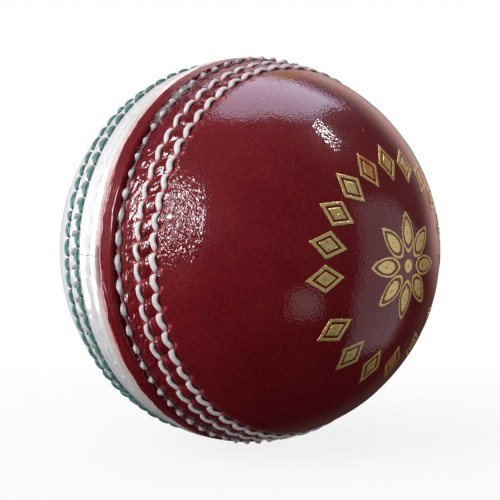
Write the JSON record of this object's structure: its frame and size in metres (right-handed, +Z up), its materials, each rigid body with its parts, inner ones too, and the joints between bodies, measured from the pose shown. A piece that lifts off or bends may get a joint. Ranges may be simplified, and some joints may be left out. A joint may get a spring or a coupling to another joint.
{
  "type": "cricket ball",
  "caption": "Hard two-colour stitched leather ball with a proud sewn seam over a wound cork core; bowled, batted and caught.",
  "frame": {"origin": "centre of the ball", "axes": "+X through the pole of the red half, square to the plane of the seam; -X through the white half's pole; +Z up"},
  "size_m": [0.0721, 0.0728, 0.0728],
  "materials": {
    "red_leather": "dyed, waxed and polished, fine grain",
    "white_leather": "white coated, satin",
    "white_thread": "waxed linen thread",
    "green_thread": "waxed linen thread",
    "cream_thread": "fine two-strand thread",
    "joint_thread": "fine waxed thread",
    "lining_leather": "undyed split leather",
    "yarn": "wound worsted yarn",
    "cork": "pressed cork",
    "cork_rubber": "moulded cork and rubber",
    "gold_foil": "hot-stamped foil"
  },
  "bodies": {
    "root": {"cork_rubber_nucleus": "cork_rubber", "inner_yarn_winding": "yarn", "inner_cork_cup_upper": "cork", "inner_cork_cup_lower": "cork", "middle_yarn_winding": "yarn", "outer_cork_cup_left": "cork", "outer_cork_cup_right": "cork", "outer_yarn_winding": "yarn", "red_cover_lining": "lining_leather", "white_cover_lining": "lining_leather", "red_quarter_front": "red_leather", "red_quarter_rear": "red_leather", "white_quarter_upper": "white_leather", "white_quarter_lower": "white_leather", "red_quarter_joint_thread": "joint_thread", "white_quarter_joint_thread": "joint_thread", "closing_stitches": "white_thread", "red_middle_stitches": "white_thread", "red_outer_stitches": "white_thread", "white_middle_stitches": "green_thread", "white_outer_stitches": "green_thread", "white_lock_stitches": "cream_thread", "gold_foil_ornament": "gold_foil"}
  },
  "joints": []
}
